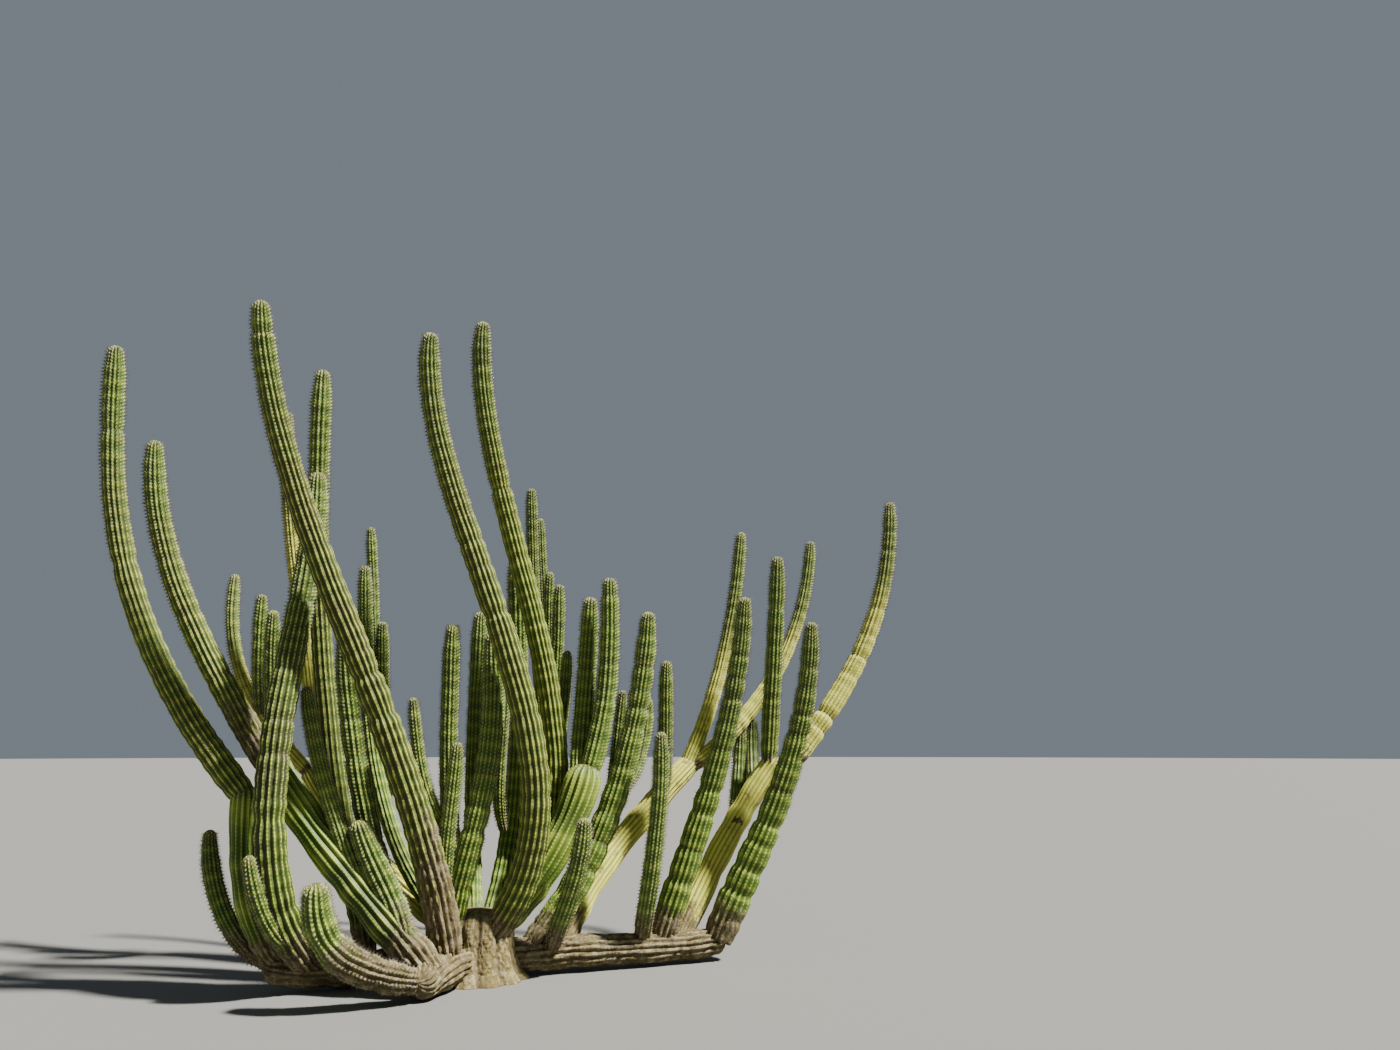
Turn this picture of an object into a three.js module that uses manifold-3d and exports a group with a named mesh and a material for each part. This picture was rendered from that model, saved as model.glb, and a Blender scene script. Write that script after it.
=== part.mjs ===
// Organ pipe cactus: one old plant, many ribbed stems from a low crown. Millimetres, +Z up.
// The origin is the middle of the flat cut under the crown, at ground level.
// The plant is seen from -Y: +X is to the right and +Y goes away from the viewer.

import * as THREE from 'three';
import { mergeVertices } from 'three/addons/utils/BufferGeometryUtils.js';
import Module from 'manifold-3d';

const wasm = await Module();
wasm.setup();

// Section of a stem
const RIBS = 9;
const STEM_GROOVE = 0.15;        // depth of the grooves, as a share of the stem's radius
const BOUGH_GROOVE = 0.09;       // the corky low boughs are smoother

// Length of a stem
const RING_STEP = 700;           // one ring of facets for each stretch of this length
const RING_GAP = 175;            // no such ring stands nearer than this to a constriction
const NECK_SHARE = 0.8;          // a stem is this much slimmer where it sprouts
const NECK_LENGTH = 190;
const WAIST_SHARE = 0.84;        // width at a year's constriction
const WAIST_REACH = 0.55;        // half the length of a constriction, in stem radii

// Rounded end of a limb, in radii below its tip: where it begins, and the place and width of its shoulder
const BLUNT_END = { drop: 1.0, shoulder: 0.36, share: 0.74 };
const TAPERED_END = { drop: 2.6, shoulder: 0.6, share: 0.65 };

// Crown
const CROWN_HEIGHT = 430;
const CROWN_RADII = [[0, 345], [70, 285], [190, 245], [320, 225]];   // height, radius: the root flare
const CROWN_LOBES = 12;
const CROWN_GROOVE = 0.07;

const CLEARANCE = 0.35;          // gap between a stem and what carries it
const AXIS_STEPS = 60;           // samples used to measure along an axis
const AXIS_REACH = 1 / 3;        // how far a lean holds at each end, as a share of the straight length
const BOW_PEAK = 16;             // brings the bow to its full size at mid length
const WELD = 1e-3;               // corners nearer than this are one corner

// Each limb: name, foot [x, y, z], tip [x, y, z], leans [side and depth at the foot, then at the tip]
// in degrees from upright, diameters [foot, tip], its deep year constrictions as shares of its length,
// and its bow [side, depth]: how far the middle stands away from the plain curve.
function limb(name, foot, tip, leans, widths, waists = [], bow = [0, 0]) {
  return { name, foot, tip, leans, widths, waists, bow };
}

const BOUGHS = [
  limb('left_low_bough', [-90, -40, 120], [-1190, -480, 160], [-84, -75, -72, -45], [225, 190]),
  limb('left_fork_bough', [-1090, -440, 150], [-1370, -495, 1215], [-40, -20, 0, 0], [180, 172]),
  limb('front_low_bough', [-40, -80, 120], [-200, -740, 120], [-60, -84, -40, -80], [220, 200]),
  limb('near_bough', [-160, -550, 120], [-1290, -350, 1370], [-44, 8, -34, 12], [240, 205]),
  limb('right_low_bough', [90, 40, 110], [1600, 625, 130], [84, 70, 84, 77], [235, 190]),
  limb('right_inner_bough', [90, 30, 290], [660, 215, 1330], [50, 4, 12, 8], [205, 250]),
  limb('right_back_bough', [500, 215, 130], [1370, 1040, 1350], [14, 42, 42, 32], [190, 165]),
  limb('right_outer_bough', [1270, 525, 130], [2000, 920, 1370], [28, 45, 38, 12], [190, 170]),
  limb('back_left_bough', [-90, 70, 235], [-1360, 520, 1290], [-66, 50, -34, 4], [180, 140]),
  limb('back_bough', [30, 110, 230], [290, 1330, 830], [30, 74, 0, 40], [190, 150]),
];

const LEFT_STEMS = [
  limb('left_outer_stem', [-1340, -495, 1110], [-2420, -600, 4040], [-42, -2, -2, -2], [176, 128],
    [0.54, 0.82], [-70, 0]),
  limb('left_second_stem', [-1250, -350, 1270], [-2200, -400, 3450], [-34, -3, 0, -2], [180, 132]),
  limb('left_front_stem', [-930, -400, 145], [-1100, -400, 3230], [-30, -42, -4, 3], [222, 145], [0.3]),
  limb('tallest_stem', [-115, -300, 120], [-1320, -1000, 4190], [-8, -6, -2, -9], [224, 134],
    [0.37, 0.43, 0.95], [15, 0]),
  limb('left_inner_stem', [-620, -245, 145], [-1225, -100, 4050], [-25, 28, -1, 0], [150, 134],
    [], [-30, 0]),
  limb('left_back_stem', [-1210, 475, 1090], [-1730, 600, 3960], [-12, 4, -4, 2], [110, 104]),
  limb('left_thin_stem', [-1300, 500, 1230], [-2150, 900, 2750], [-48, 18, -4, 12], [104, 90], [], [-60, 0]),
  limb('left_short_stem', [-1760, 625, 1680], [-1770, 500, 2540], [0, -26, 0, 0], [100, 92]),
  limb('left_side_stem', [-1580, 545, 1480], [-1600, 300, 2400], [-5, -45, -3, 0], [110, 102]),
  limb('left_front_stub', [-1010, -520, 255], [-1200, -800, 830], [-40, -66, -8, 0], [100, 92]),
  limb('left_outer_stub', [-1150, -465, 170], [-1640, -330, 940], [-74, 30, 0, 0], [118, 108]),
  limb('inner_stem', [-380, -165, 145], [-920, -200, 2170], [-25, -8, -6, 0], [160, 132], [0.62]),
  limb('inner_dome', [-330, -560, 330], [-670, -500, 1010], [-24, 24, -16, -6], [165, 180]),
  limb('inner_lit_stem', [-600, -520, 590], [-1040, -500, 1820], [-30, 12, -8, -4], [120, 88]),
  limb('near_low_stem', [-215, -705, 120], [-730, -1000, 700], [-82, -74, -4, -4], [190, 205],
    [0.62], [-50, -60]),
];

const MIDDLE_STEMS = [
  limb('middle_tall_stem', [70, -50, 240], [-400, -400, 4210], [42, -16, 5, -4], [212, 136], [0.52],
    [50, 0]),
  limb('middle_second_stem', [70, 110, 240], [-150, 100, 4490], [46, 34, 5, -1], [185, 132], [0.72],
    [30, 0]),
  limb('middle_inner_stem', [30, 110, 260], [60, 560, 2810], [12, 54, -5, 0], [150, 132]),
  limb('middle_left_stem', [-150, -120, 230], [40, -100, 2200], [4, -18, -4, 2], [165, 142], [0.36], [60, 0]),
  limb('middle_left_back_stem', [-40, 110, 250], [-170, 500, 2410], [-18, 44, 0, 0], [130, 114]),
  limb('middle_fork_stem', [-80, 60, 250], [-320, 300, 2300], [-26, 30, 0, 0], [130, 116]),
  limb('middle_side_stem', [-145, -150, 400], [-120, -300, 1480], [-14, -38, 0, 0], [105, 98]),
  limb('middle_curved_stem', [-165, -275, 930], [-420, -300, 1760], [-38, -12, -8, 0], [80, 72]),
  limb('middle_thin_stem', [80, 330, 900], [80, 200, 1830], [-10, -42, -2, 0], [84, 78]),
  limb('middle_back_stem', [285, 1240, 790], [30, 1400, 3550], [-4, 14, -3, 0], [112, 92], [], [-30, 0]),
  limb('middle_far_stem', [290, 1300, 800], [50, 1800, 3380], [-6, 40, -4, 2], [94, 78]),
  limb('middle_back_thin_stem', [255, 1090, 700], [230, 1200, 2820], [-2, 20, 0, 0], [92, 80]),
  limb('middle_back_inner_stem', [200, 800, 520], [350, 900, 2670], [10, 14, 0, 0], [104, 94]),
  limb('middle_back_low_stem', [130, 520, 380], [460, 600, 2140], [24, 14, 2, 0], [100, 90]),
  limb('back_left_stem', [-130, 30, 260], [-1030, 500, 2750], [-54, 16, -5, 3], [118, 100]),
  limb('back_left_short_stem', [-700, 270, 930], [-880, 500, 2340], [-20, 34, -3, 0], [104, 96]),
  limb('back_left_far_stem', [-850, 420, 690], [-1190, 1100, 3160], [-12, 40, -6, 0], [96, 78]),
];

const RIGHT_STEMS = [
  limb('right_pair_short_stem', [600, 210, 1230], [630, 500, 2520], [-2, 40, 0, 0], [142, 132]),
  limb('right_pair_tall_stem', [660, 220, 1240], [780, 350, 2640], [18, 14, -2, 0], [160, 128]),
  limb('right_low_stub', [450, 140, 135], [680, -100, 1000], [20, -52, -2, 0], [130, 122]),
  limb('right_leaning_stem', [300, 120, 130], [1060, 400, 2400], [42, 16, 2, 2], [220, 132], [0.72]),
  limb('right_leaning_side_stem', [900, 345, 1160], [1050, 600, 1800], [36, 44, 0, 0], [104, 96]),
  limb('right_back_thin_stem', [800, 610, 720], [840, 1000, 1870], [-12, 46, 4, 0], [88, 80]),
  limb('right_back_short_stem', [1150, 850, 1070], [1180, 800, 2080], [6, -12, 1, 0], [112, 102]),
  limb('right_front_stem', [1030, 410, 130], [1160, 200, 1550], [8, -40, -4, 0], [130, 104]),
  limb('right_upright_stem', [1150, 465, 130], [1760, 500, 2520], [18, 2, 4, 0], [222, 116],
    [0.43, 0.7], [20, 0]),
  limb('right_forked_stem', [1550, 590, 135], [2250, 600, 2350], [22, 2, 2, 0], [262, 112],
    [0.36, 0.85], [40, 0]),
  limb('right_outer_stem', [2070, 600, 1320], [2930, 1000, 3340], [40, 16, 2, 10], [170, 96], [0.2], [30, 0]),
  limb('right_back_tall_stem', [1300, 980, 1250], [1770, 1400, 3180], [26, 18, 4, 8], [126, 96]),
  limb('right_back_curved_stem', [1340, 1010, 1290], [2360, 1600, 3140], [56, 28, 4, 8], [140, 92], [],
    [20, 0]),
  limb('right_bough_stem', [1940, 890, 1310], [2030, 900, 2890], [3, 0, 1, 0], [140, 118], [0.74]),
  limb('right_hidden_stem', [1700, 770, 900], [1750, 1200, 1590], [0, 58, 0, 0], [115, 108]),
  limb('right_hidden_back_stem', [1830, 845, 1110], [1840, 1250, 1660], [-4, 62, 0, 2], [100, 92]),
];

// A direction from its lean to the side and its lean in depth, both in degrees from upright
function direction(side, depth) {
  const slope = degrees => Math.tan(THREE.MathUtils.degToRad(degrees));
  return new THREE.Vector3(slope(side), slope(depth), 1).normalize();
}

// The axis of a limb leaves its foot and reaches its tip along the limb's two leans
class LimbAxis extends THREE.Curve {
  constructor({ foot, tip, leans, bow }) {
    super();
    const start = new THREE.Vector3(...foot);
    const end = new THREE.Vector3(...tip);
    const reach = start.distanceTo(end) * AXIS_REACH;
    const leaving = start.clone().addScaledVector(direction(leans[0], leans[1]), reach);
    const arriving = end.clone().addScaledVector(direction(leans[2], leans[3]), -reach);
    this.plain = new THREE.CubicBezierCurve3(start, leaving, arriving, end);
    this.bow = new THREE.Vector3(bow[0], bow[1], 0);
    this.arcLengthDivisions = AXIS_STEPS;
  }

  getPoint(share, target = new THREE.Vector3()) {
    const bowed = BOW_PEAK * (share * (1 - share)) ** 2;
    return this.plain.getPoint(share, target).addScaledVector(this.bow, bowed);
  }
}

const smooth = (share) => THREE.MathUtils.smoothstep(share, 0, 1);

// Radius of the crests at a distance along the limb, before its dome closes
function radiusAt({ widths, waists }, distance, length) {
  const share = distance / length;
  const girth = THREE.MathUtils.lerp(widths[0], widths[1], share) / 2;
  const neck = THREE.MathUtils.lerp(NECK_SHARE, 1, smooth(distance / NECK_LENGTH));
  const reach = WAIST_REACH * girth;
  const pinches = waists.map((waist) => 1 - Math.abs(distance - waist * length) / reach);
  const pinch = Math.max(0, ...pinches);
  return girth * neck * (1 - (1 - WAIST_SHARE) * pinch);
}

// The distances along a limb that carry a ring of facets
function ringDistances(stem, length, end) {
  const tipRadius = stem.widths[1] / 2;
  const last = length - end.drop * tipRadius;
  const steps = Math.max(1, Math.round(last / RING_STEP));
  const even = Array.from({ length: steps + 1 }, (_, i) => (last * i) / steps);
  const pinched = stem.waists.flatMap((waist) => {
    const girth = THREE.MathUtils.lerp(stem.widths[0], stem.widths[1], waist) / 2;
    return [-1, 0, 1].map((side) => waist * length + side * WAIST_REACH * girth);
  });
  const apart = (d) => pinched.every((p) => Math.abs(p - d) > RING_GAP);
  const clear = even.filter((d) => d === 0 || d === last || apart(d));
  const kept = pinched.filter((p) => p > 0 && p < last);
  return [...clear, ...kept].sort((a, b) => a - b);
}

// A lathed body, bent along its axis, whose crests and grooves alternate round it.
// profile: [distance along the axis, radius] pairs. swell widens the whole surface.
function ribbedBody(axis, profile, ribs, groove, swell) {
  const widened = (radius) => (radius > 0 ? radius + swell : 0);
  const points = profile.map(([distance, radius]) => new THREE.Vector2(widened(radius), distance));
  const geometry = new THREE.LatheGeometry(points, ribs * 2);
  const length = axis.getLength();
  const position = geometry.attributes.position;
  const corner = new THREE.Vector3();
  const side = new THREE.Vector3();
  const depth = new THREE.Vector3();
  for (let i = 0; i < position.count; i++) {
    const turn = Math.atan2(position.getX(i), position.getZ(i));
    const radius = Math.hypot(position.getX(i), position.getZ(i));
    const distance = position.getY(i);
    const facet = Math.round((turn / Math.PI) * ribs);
    const crest = facet % 2 === 0 ? 1 : 1 - groove;
    const share = THREE.MathUtils.clamp(distance / length, 0, 1);
    const along = axis.getTangentAt(share);
    axis.getPointAt(share, corner);
    depth.set(-along.x * along.y, 1 - along.y * along.y, -along.z * along.y).normalize();
    side.crossVectors(along, depth);
    corner.addScaledVector(along, distance - share * length);
    corner.addScaledVector(side, radius * crest * Math.sin(turn));
    corner.addScaledVector(depth, radius * crest * Math.cos(turn));
    position.setXYZ(i, corner.x, corner.y, corner.z);
  }
  return geometry;
}

// A closed geometry as a solid
function solidOf(geometry) {
  const bare = geometry.clone();
  bare.deleteAttribute('normal');
  bare.deleteAttribute('uv');
  const merged = mergeVertices(bare, WELD);
  const index = merged.index.array;
  const triangles = [];
  for (let i = 0; i < index.length; i += 3) {
    const [a, b, c] = [index[i], index[i + 1], index[i + 2]];
    if (a !== b && b !== c && c !== a) triangles.push(a, b, c);
  }
  const vertProperties = new Float32Array(merged.attributes.position.array);
  const triVerts = new Uint32Array(triangles);
  return new wasm.Manifold(new wasm.Mesh({ numProp: 3, vertProperties, triVerts }));
}

function geometryOf(solid) {
  const mesh = solid.getMesh();
  const geometry = new THREE.BufferGeometry();
  geometry.setAttribute('position', new THREE.BufferAttribute(mesh.vertProperties, 3));
  geometry.setIndex(new THREE.BufferAttribute(mesh.triVerts, 1));
  geometry.computeVertexNormals();
  return geometry;
}

function limbSolid(stem, groove, end, swell) {
  const axis = new LimbAxis(stem);
  const length = axis.getLength();
  const tipRadius = stem.widths[1] / 2;
  const distances = ringDistances(stem, length, end);
  const rings = distances.map((distance) => [distance, radiusAt(stem, distance, length)]);
  rings[0][0] = -swell;
  const profile = [
    [-swell, 0],
    ...rings,
    [length - end.shoulder * tipRadius + swell, end.share * tipRadius],
    [length + swell, 0],
  ];
  return solidOf(ribbedBody(axis, profile, RIBS, groove, swell));
}

function crownSolid(swell) {
  const axis = new THREE.LineCurve3(new THREE.Vector3(0, 0, 0), new THREE.Vector3(0, 0, CROWN_HEIGHT));
  const rim = CROWN_RADII[CROWN_RADII.length - 1][1];
  const profile = [
    [-swell, 0],
    [-swell, CROWN_RADII[0][1]],
    ...CROWN_RADII.slice(1),
    [CROWN_HEIGHT - BLUNT_END.shoulder * rim + swell, BLUNT_END.share * rim],
    [CROWN_HEIGHT + swell, 0],
  ];
  return solidOf(ribbedBody(axis, profile, CROWN_LOBES, CROWN_GROOVE, swell));
}

// The largest of the pieces that a cut leaves
function largestPiece(solid) {
  return solid.decompose().reduce((best, piece) => (piece.volume() > best.volume() ? piece : best));
}

const boxesMeet = (a, b) => [0, 1, 2].every((k) => a.min[k] < b.max[k] && b.min[k] < a.max[k]);

const material = (color, roughness) => new THREE.MeshStandardMaterial({ color, roughness, metalness: 0 });
const CORK = material('#8d7d58', 0.95);
const OLD_SKIN = material('#7d8450', 0.8);
const YOUNG_SKIN = material('#5f7a3f', 0.7);

const group = new THREE.Group();
const placed = [];

// Cuts a limb clear of everything placed before it, and adds what is left as one piece
function place(name, build, skin) {
  let solid = build(0);
  for (const other of placed) {
    if (boxesMeet(solid.boundingBox(), other.boundingBox())) solid = solid.subtract(other);
  }
  const mesh = new THREE.Mesh(geometryOf(largestPiece(solid)), skin);
  mesh.name = name;
  group.add(mesh);
  placed.push(build(CLEARANCE));
}

place('crown', crownSolid, CORK);
for (const bough of BOUGHS) {
  place(bough.name, (swell) => limbSolid(bough, BOUGH_GROOVE, BLUNT_END, swell), OLD_SKIN);
}
for (const stem of [...LEFT_STEMS, ...MIDDLE_STEMS, ...RIGHT_STEMS]) {
  place(stem.name, (swell) => limbSolid(stem, STEM_GROOVE, TAPERED_END, swell), YOUNG_SKIN);
}

export default group;
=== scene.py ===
"""Organ pipe cactus: ribbed skin, felt cushions and needles on every limb of the frame. Metres, +Z up."""

from math import ceil, pi, radians, tan, tau
from zlib import crc32

import bmesh
import bpy
import numpy as np
from bpy.props import FloatProperty, FloatVectorProperty, PointerProperty
from bpy.types import Operator, Panel, PropertyGroup
from mathutils import Matrix, Vector, noise
from mathutils.geometry import interpolate_bezier


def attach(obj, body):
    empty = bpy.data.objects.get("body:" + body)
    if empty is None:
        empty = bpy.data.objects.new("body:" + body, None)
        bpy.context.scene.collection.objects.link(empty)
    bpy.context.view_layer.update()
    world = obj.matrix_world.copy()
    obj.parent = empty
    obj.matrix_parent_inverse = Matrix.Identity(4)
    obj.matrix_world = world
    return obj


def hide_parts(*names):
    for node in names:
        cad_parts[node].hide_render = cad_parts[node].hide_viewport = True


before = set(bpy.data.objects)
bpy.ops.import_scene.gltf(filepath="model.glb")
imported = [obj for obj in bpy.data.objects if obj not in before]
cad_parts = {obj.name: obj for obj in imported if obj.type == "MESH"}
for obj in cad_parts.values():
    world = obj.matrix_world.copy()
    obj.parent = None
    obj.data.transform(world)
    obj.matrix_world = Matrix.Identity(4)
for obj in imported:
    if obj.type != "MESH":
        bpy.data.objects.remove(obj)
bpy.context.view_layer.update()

bl_info = {
    "name": "Organ pipe cactus",
    "version": (1, 0, 0),
    "blender": (4, 5, 0),
    "location": "View3D > Sidebar > Cactus",
    "description": "Ribbed skin, felt cushions and needles for an old many-stemmed cactus",
    "category": "Add Mesh",
}

BODY = "root"

# Axis of a limb
AXIS_POINTS = 240
AXIS_REACH = 1 / 3  # how far a lean holds at each end, as a share of the straight length
BOW_PEAK = 16  # brings a bow to its full size at mid length

# Girth of a limb
NECK_SHARE = 0.8
NECK_LENGTH = 0.19
DOME_RINGS = 8
DOME_POWER = 2.3  # 2 is a half ball, more is a fuller shoulder
DOME_REACH = 0.8  # of a stem, in radii of its tip
TAPER_REACH = 3.6  # how far from its tip a stem begins to narrow, in the same radii
TAPER_SHARE = 0.72  # width that is left where its dome begins

# Ribs
POINTS_PER_RIB = 6
CROWN_POINTS_PER_RIB = 20
RIB_COUNTS = ((0.1, 11), (0.15, 13), (1.0, 15))  # up to this mean width, so many
RIB_CURVE = 1.4  # 1 is a plain V between sharp crests, 2 a round crest
OLD_RIB_CURVE = 0.8  # so much rounder are the oldest ribs
TWIST = 0.1  # most that the ribs turn in a metre, either way, in radians

# Waves along a limb, by which its ribs sway and its swellings drift: size, and radians a metre
SLOW_SWAY = (0.04, 4.1)
FAST_SWAY = (0.015, 11.3)
SLOW_DRIFT = (1.3, 5.1)
FAST_DRIFT = (0.7, 13.7)

# Dents in a limb: how often they repeat round it, and their radians a metre
DENTS = ((2, 5.3), (3, -8.7))
DENT_DEPTH = 0.008
RIPPLE = (2.1, 23)  # radians from rib to rib, and a metre
RIPPLE_DEPTH = 0.006

# A constriction: its shoulder below and its slope above, in radii of the limb
SHOULDER_REACH = 0.55
SLOPE_REACH = 1.3
WAIST_DEPTH = 0.2
FAINT_RING = 0.78  # how dark a ring it leaves at the least
RING_GAIN = 2.0  # how much darker, the deeper it is

# Years of growth between yearly constrictions, each range from least to most
YEAR_LENGTH = 0.27
YEAR_CUT = 0.5  # the deeper the beads of a stem, the shorter are its years
FIRST_YEAR = (0.6, 1.0)
LATER_YEARS = (0.6, 1.4)
YEAR_DEPTHS = (0.5, 1.3)  # of a constriction, in beads of the stem
YEAR_ROOM = 0.6  # part of a year that is kept free beside a waist

# Low swellings, one above the other all along a limb
SWELL_LENGTH = 0.094
SWELL_DEPTH = 0.03
BOUGH_SWELL_LENGTH = 0.31
BOUGH_SWELL_DEPTH = 0.05
SWELL_LOSS = 3.0  # the deeper the beads of a stem, the lower are its swellings

# Changes below a tip: where each begins, and over what length it grows
SWELLING_BELOW = (0.0, 0.2)
OLD_BELOW = (0.0, 1.3)
# where the skin dulls and shade is painted on it
DULL_AND_SHADE_BELOW = (0.1, 1.5)
WORN_BELOW = (0.3, 1.6)
TIP_AGE = 0.3  # share of a stem's age that its tip shows
# the woolly tip, where the shade of its spines is painted
WOOL_AND_SPINE_SHADE_REACH = 0.11

# Corky skin: how far it reaches, and how much of it there is, from 0 to 1
CORK_LENGTH = 0.6
HIGH_CORK_LENGTH = 0.24  # on a limb whose foot is above the height of high feet
HIGH_FOOT = 0.5
FOOT_CORK = 0.9
YOUNG_CORK = 0.6  # share of it on a limb of no age
GROUND_CORK = 0.8
GROUND_CORK_TOP = 0.65  # height where it ends
GROUND_CORK_REACH = 0.5  # and how much lower it is full
BOUGH_CORK = 0.12
OLD_BOUGH_CORK = 0.2  # added to it on the oldest boughs

# Fissured bark on corky skin
BARK_CORK = 0.25  # cork at which the skin begins to crack
BARK_EASE = 0.35
BARK_DEPTH = 0.008
BARK_WIDTH = 0.04
BARK_STRETCH = 0.35  # fissures run along a limb
BARK_FADE = 0.9  # how fast its finer octaves fade
BARK_OCTAVES = 3
FISSURE_SLOPE = 3.5  # the higher, the narrower are the fissures

# Crown
CROWN_HEIGHTS = (0.0, 0.03, 0.07, 0.19, 0.32)
CROWN_RADII = (0.345, 0.318, 0.285, 0.245, 0.225)
CROWN_HEIGHT = 0.43
CROWN_LOBES = 12
CROWN_DOME = 0.11

# Cushions and needles
BARE_TIP = 0.25  # share of the dome, at its very tip, that carries no cushion
CREST_REACH = 0.004  # how far either side of a cushion the run of its crest is read
TIP_GAP = 0.0001  # how far that reading stays from the closed tip
CUSHION_HEIGHT = 0.36  # share of its width
CUSHION_LIFT = 0.3  # share of its height
CUSHION_SCALES = (0.75, 1.2)  # least and most
WEAR = 0.4  # share of its scale that a cushion loses on the oldest skin
MOST_SPIN = 0.5
FRESH_REACH = (0.75, 0.35)  # least share of the fresh length, and what chance adds
KEPT_NEEDLES = 0.45  # share of the cushions further down that keep needles
KEPT_FELT = 0.2  # share of them that keep felt
GROUND_CLEARANCE = 0.03

CHART = "ribs"
PIECE_TRIANGLES = 180000

# Stage: a light's turn to the right of the front, and its height, in degrees
FLOOR_SIDES = 96
FLOOR_COLOUR = (0.135, 0.132, 0.125)
SKY_COLOUR = (0.75, 0.87, 1.0)
KEY_TURN = 76.0
KEY_HEIGHT = 56.0
KEY_COLOUR = (1.0, 0.97, 0.9)
FILL_TURN = -60.0
FILL_HEIGHT = 30.0
FILL_COLOUR = (0.9, 0.95, 1.0)

# Camera: where it stands, and how far it looks up
CAMERA_PLACE = (1.43, -7.4, 1.45)
CAMERA_PITCH = 11.5
LENS = 28.0
SENSOR_WIDTH = 36.0


def smooth(share):
    """Eases from 0 to 1."""
    share = np.clip(share, 0.0, 1.0)
    return share * share * (3 - 2 * share)


def direction(side, depth):
    """The direction with these two leans, in degrees from upright."""
    return Vector((tan(radians(side)), tan(radians(depth)), 1)).normalized()


def unit(rows):
    """Each row at length 1."""
    return rows / np.linalg.norm(rows, axis=1, keepdims=True)


class Limb:
    """One stem, from its foot to its rounded tip.

    Leans are degrees from upright: to the side and back at the foot, then at the tip. Widths are
    at the foot and at the tip. Waists are deep constrictions, as shares of the length, and a bow
    moves the middle to the side and back. Age says how yellow the skin is, beads how deep the
    yearly constrictions are, dust how dull the skin is and how much shade is painted on it, and
    cork how long its corky foot is.
    """

    dome_reach = DOME_REACH
    taper = 1 - TAPER_SHARE
    points_per_rib = POINTS_PER_RIB
    swell_length = SWELL_LENGTH
    swell_depth = SWELL_DEPTH
    groove = "stem_groove"

    def __init__(self, name, foot, tip, leans, widths, waists=(), bow=(0.0, 0.0), age=0.25,
                 beads=0.03, dust_and_shade=0.0, cork=0.0):
        self.name = name
        self.widths = widths
        self.age = age
        self.beads = beads
        self.dullness_and_shade = dust_and_shade
        self.cork_length = cork or (CORK_LENGTH if foot[2] < HIGH_FOOT else HIGH_CORK_LENGTH)
        self.draw = np.random.default_rng(crc32(name.encode()))
        self.line = self.bent_line(Vector(foot), Vector(tip), leans, bow)
        steps = np.linalg.norm(np.diff(self.line, axis=0), axis=1)
        self.tape = np.concatenate(([0.0], np.cumsum(steps)))
        self.heading = np.gradient(self.line, self.tape, axis=0)
        self.length = self.tape[-1]
        self.dome = widths[1] / 2 * self.dome_reach
        mean = sum(widths) / 2
        self.ribs = next(count for limit, count in RIB_COUNTS if mean < limit)
        self.waists = [(waist * self.length, WAIST_DEPTH) for waist in waists]
        self.years = self.draw_years()
        self.phases = self.draw.uniform(0, tau, 8)
        self.twist = self.draw.uniform(-TWIST, TWIST)

    @staticmethod
    def bent_line(start, end, leans, bow):
        """Points of the axis: a curve that leaves and arrives at its leans, with a bow added."""
        reach = (end - start).length * AXIS_REACH
        leaving = start + direction(*leans[:2]) * reach
        arriving = end - direction(*leans[2:]) * reach
        line = np.array(interpolate_bezier(start, leaving, arriving, end, AXIS_POINTS))
        share = np.linspace(0, 1, AXIS_POINTS)
        line[:, :2] += (BOW_PEAK * (share * (1 - share)) ** 2)[:, None] * np.array(bow)
        return line

    def draw_years(self):
        """Place and depth of each end of a year's growth, away from the deep waists."""
        years = []
        year = YEAR_LENGTH - YEAR_CUT * self.beads
        place = self.draw.uniform(*FIRST_YEAR) * year
        while place < self.length - 2 * self.dome:
            if all(abs(place - waist) > YEAR_ROOM * year for waist, _ in self.waists):
                years.append((place, self.beads * self.draw.uniform(*YEAR_DEPTHS)))
            place += self.draw.uniform(*LATER_YEARS) * year
        return years

    def read(self, rows, distance):
        """Rows that belong to the points of the axis, read off at these distances."""
        return np.stack([np.interp(distance, self.tape, column) for column in rows.T], axis=1)

    def wave(self, size_and_rate, distance, number):
        """A wave along the limb; its number picks where it starts."""
        size, rate = size_and_rate
        return size * np.sin(rate * distance + self.phases[number])

    def below_tip(self, distance, start, reach):
        """0 from the tip down to the start, and 1 from the reach below that."""
        return smooth((self.length - distance - start) / reach)

    def girth(self, distance):
        """Radius at the crests, without its constrictions."""
        share = distance / self.length
        wide = (self.widths[0] + (self.widths[1] - self.widths[0]) * share) / 2
        return wide * (NECK_SHARE + (1 - NECK_SHARE) * smooth(distance / NECK_LENGTH))

    def pinch(self, distance, waists):
        """Share of the girth that waists take, each round below and sloping above."""
        most = np.zeros_like(distance)
        for waist, depth in waists:
            away = (distance - waist) / self.girth(distance)
            below = np.clip(1 + away / SHOULDER_REACH, 0, 1)
            above = np.clip(1 - away / SLOPE_REACH, 0, 1)
            near = np.where(away < 0, 1 - np.sqrt(1 - below**2), above**2)
            most = np.maximum(most, depth * near)
        return most

    def closing(self, distance):
        """Share of the girth that is left where the dome closes."""
        high = np.clip((distance - self.length + self.dome) / self.dome, 0, 1)
        slope = smooth((self.length - distance) / (TAPER_REACH * self.widths[1] / 2))
        return np.sqrt(1 - high**DOME_POWER) * (1 - self.taper * (1 - slope))

    def swelling(self, distance):
        """1 on the swellings and -1 in the hollows between them, unevenly far apart."""
        drift = self.wave(SLOW_DRIFT, distance, 6) + self.wave(FAST_DRIFT, distance, 7)
        return np.sin(tau * distance / self.swell_length + drift)

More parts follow.
